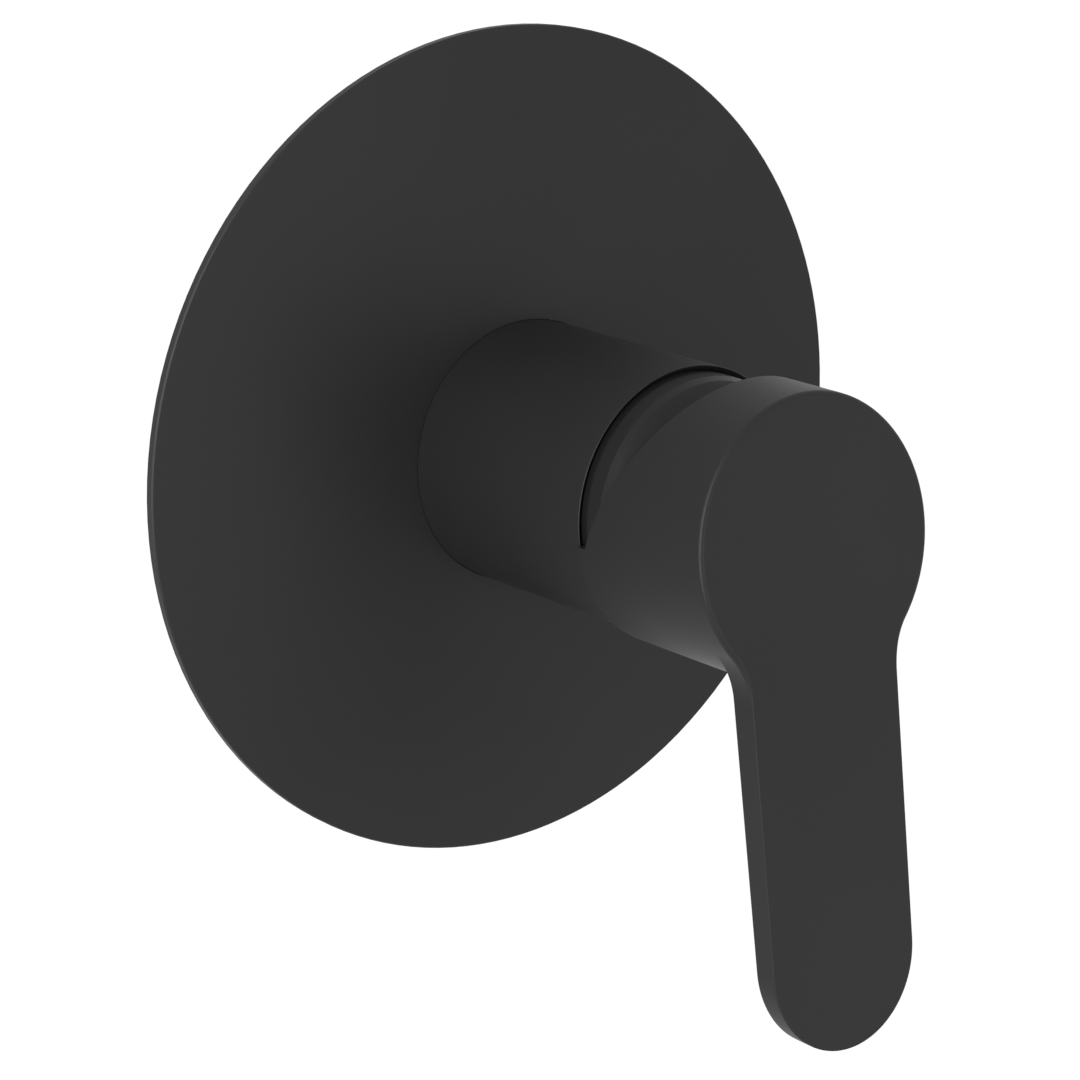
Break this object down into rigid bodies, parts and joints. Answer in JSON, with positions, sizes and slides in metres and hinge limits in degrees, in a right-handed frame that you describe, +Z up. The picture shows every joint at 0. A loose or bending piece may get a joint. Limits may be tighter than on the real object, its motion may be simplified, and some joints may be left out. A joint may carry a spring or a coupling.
{
  "type": "concealed shower mixer",
  "caption": "Concealed single-lever shower mixer: round wall plate, straight sleeve, domed cover ring, lever with a flat hanging blade, ceramic disc cartridge and in-wall brass body.",
  "frame": {"origin": "centre of the face plate's back plane, on the mixer's axis, in the plane of the finished wall", "axes": "+Y into the wall along the mixer's axis, +Z up, +X to the right as seen from the front"},
  "size_m": [0.16, 0.1428, 0.1703],
  "materials": {
    "black_finish": "satin",
    "casting_brass": "satin",
    "turned_brass": "satin",
    "steel": "brushed",
    "black_rubber": "matte",
    "grey_foam": "matte",
    "fibre": "matte",
    "white_plastic": "satin",
    "grey_plastic": "satin",
    "black_plastic": "satin",
    "disc_ceramic": "polished"
  },
  "bodies": {
    "fixed": {"face_plate": "black_finish", "plate_gasket": "grey_foam", "plate_seal": "black_rubber", "sleeve": "black_finish", "sleeve_rings": "black_rubber", "cover_ring": "black_finish", "fixed_ceramic_disc": "disc_ceramic", "cartridge_base": "grey_plastic", "port_seals": "black_rubber", "cartridge_housing": "grey_plastic", "retaining_nut": "turned_brass", "valve_body": "casting_brass", "fixing_plate": "steel", "fixing_screws": "steel", "blanking_plug": "turned_brass", "plug_washer": "fibre"},
    "turning": {"rotating_driver": "white_plastic", "driver_ring": "black_rubber", "pivot_pin": "steel"},
    "lever": {"lever_handle": "black_finish", "grub_screw": "steel", "index_plug": "black_plastic", "stem": "turned_brass"},
    "disc": {"disc_carrier": "white_plastic", "moving_ceramic_disc": "disc_ceramic"}
  },
  "joints": [
    {"name": "temperature_turn", "type": "hinge", "parent": "fixed", "child": "turning", "pos_m": [0, -0.052, 0], "axis": [0, -1, 0], "range_deg": [-50, 50]},
    {"name": "flow_lift", "type": "hinge", "parent": "turning", "child": "lever", "pos_m": [0, -0.052, 0], "axis": [-1, 0, 0], "range_deg": [0, 22]},
    {"name": "disc_slide", "type": "slide", "parent": "turning", "child": "disc", "axis": [0, 0, -1], "range_m": [0, 0.0042]}
  ],
  "couplings": [
    {"joint": "disc_slide", "follows": "flow_lift", "m_per_rad": 0.010933}
  ]
}
